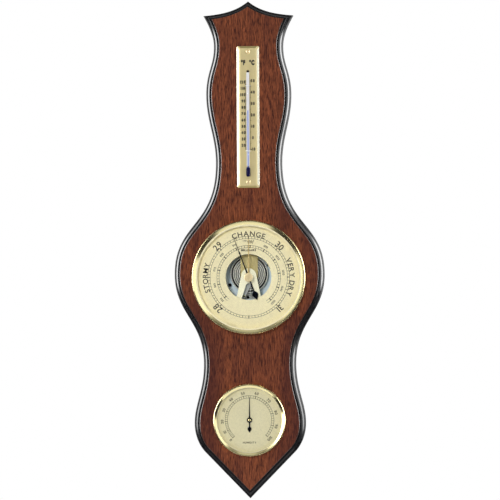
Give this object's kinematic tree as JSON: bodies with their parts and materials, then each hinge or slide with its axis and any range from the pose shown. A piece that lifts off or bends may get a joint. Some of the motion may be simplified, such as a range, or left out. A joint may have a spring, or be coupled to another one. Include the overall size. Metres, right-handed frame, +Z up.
{
  "type": "wall barometer",
  "caption": "Wall barometer: a shaped, moulded board with a long thermometer, a round open-dial aneroid barometer and, below it, a smaller round hygrometer in matching rounded bezels.",
  "frame": {"origin": "the hanging notch of the sawtooth hanger, in the plane of the wall, 30 mm below the board's peak", "axes": "+Z up, -Y out of the wall towards the reader, +X to the reader's right"},
  "size_m": [0.1692, 0.0331, 0.56],
  "materials": {
    "black_lacquer": "gloss black lacquer on the moulded hardwood edge",
    "mahogany": "reddish brown mahogany veneer, semi-gloss lacquer",
    "satin_brass": "satin, fine upright brushing",
    "polished_brass": "polished and lacquered",
    "dial_gold": "pale gold anodised, fine satin",
    "hygrometer_gold": "pale gold anodised, turned satin",
    "clear_glass": "clear, polished",
    "blue_spirit": "dyed spirit, stands in for the liquid",
    "white_wire": "white enamelled wire",
    "zinc_steel": "bright zinc plate",
    "capsule_silver": "nickel-silver, bright",
    "spring_brass": "olive brass, satin",
    "grey_steel": "plain grey steel",
    "blued_steel": "blued, semi-gloss",
    "cream_plastic": "cream moulding, satin"
  },
  "bodies": {
    "root": {"moulded_board": "black_lacquer", "veneer_face": "mahogany", "hanger_bar": "zinc_steel", "hanger_screw_left": "polished_brass", "hanger_screw_right": "polished_brass", "thermometer_plate": "satin_brass", "thermometer_tube": "clear_glass", "spirit_column": "blue_spirit", "tube_clip_top": "white_wire", "tube_clip_bottom": "white_wire", "plate_pin_top": "polished_brass", "plate_pin_bottom": "polished_brass", "barometer_case": "zinc_steel", "dial_support_ring": "zinc_steel", "barometer_dial": "dial_gold", "barometer_seat_ring": "polished_brass", "barometer_glass": "clear_glass", "barometer_bezel": "polished_brass", "movement_plate": "zinc_steel", "movement_screw_left": "blued_steel", "movement_screw_right": "blued_steel", "movement_screw_lower": "blued_steel", "capsule_lower": "capsule_silver", "spring_bracket": "grey_steel", "spring_screw_left": "blued_steel", "spring_screw_right": "blued_steel", "rocker_bracket": "satin_brass", "rocker_bracket_screw": "blued_steel", "hairspring": "blued_steel", "hairspring_stud": "satin_brass", "lower_cock": "satin_brass", "pointer_bridge": "cream_plastic", "bridge_pillar_left": "satin_brass", "bridge_pillar_right": "satin_brass", "bridge_spacer_left": "satin_brass", "bridge_spacer_right": "satin_brass", "bridge_screw_left": "blued_steel", "bridge_screw_right": "blued_steel", "set_hand_washer": "polished_brass", "hygrometer_case": "zinc_steel", "hygrometer_dial": "hygrometer_gold", "hygrometer_seat_ring": "polished_brass", "hygrometer_glass": "clear_glass", "hygrometer_bezel": "polished_brass", "hygrometer_frame": "satin_brass", "hygrometer_coil": "spring_brass"},
    "hand": {"indicating_hand": "blued_steel", "pointer_arbor": "grey_steel"},
    "rocker": {"rocker_shaft": "grey_steel", "chain": "grey_steel"},
    "spring": {"main_spring": "spring_brass", "lever_arm": "grey_steel", "link_rod": "polished_brass"},
    "capsule_front": {"capsule_upper": "capsule_silver", "capsule_pin": "grey_steel"},
    "marker": {"set_hand": "polished_brass", "set_hand_knob": "polished_brass"},
    "adjuster": {"adjusting_screw": "polished_brass"},
    "hygrometer_pointer": {"hygrometer_hand": "blued_steel", "hygrometer_arbor": "polished_brass"}
  },
  "joints": [
    {"name": "hand_turn", "type": "hinge", "parent": "root", "child": "hand", "pos_m": [0, -0.0235, -0.2806], "axis": [0, 1, 0], "range_deg": [-114.5, 155.5], "stiffness_Nm_per_rad": 0.00002, "deforming": ["hairspring"]},
    {"name": "rocker_turn", "type": "hinge", "parent": "root", "child": "rocker", "pos_m": [-0.0022, -0.0092, -0.3002], "axis": [1, 0, 0], "range_deg": [-18.6, 25.2], "deforming": ["chain"]},
    {"name": "spring_flex", "type": "hinge", "parent": "root", "child": "spring", "pos_m": [0, -0.0125, -0.2511], "axis": [1, 0, 0], "range_deg": [-0.67, 0.9], "deforming": ["main_spring"]},
    {"name": "capsule_travel", "type": "slide", "parent": "root", "child": "capsule_front", "axis": [0, 1, 0], "range_m": [-0.0002956, 0.0004015], "stiffness_N_per_m": 16000},
    {"name": "set_hand_turn", "type": "hinge", "parent": "root", "child": "marker", "pos_m": [0, -0.0287, -0.2806], "axis": [0, 1, 0], "continuous": true},
    {"name": "adjusting_screw_turn", "type": "hinge", "parent": "root", "child": "adjuster", "pos_m": [0, -0.004, -0.25], "axis": [0, 1, 0], "range_deg": [-360, 360]},
    {"name": "hygrometer_hand_turn", "type": "hinge", "parent": "root", "child": "hygrometer_pointer", "pos_m": [0, -0.0204, -0.4408], "axis": [0, 1, 0], "range_deg": [-136.5, 133], "stiffness_Nm_per_rad": 0.0003, "deforming": ["hygrometer_coil"]}
  ],
  "couplings": [
    {"joint": "spring_flex", "follows": "capsule_travel", "rad_per_m": 38.462},
    {"joint": "rocker_turn", "follows": "capsule_travel", "rad_per_m": 1087.6},
    {"joint": "hand_turn", "follows": "capsule_travel", "rad_per_m": 6758.7}
  ]
}
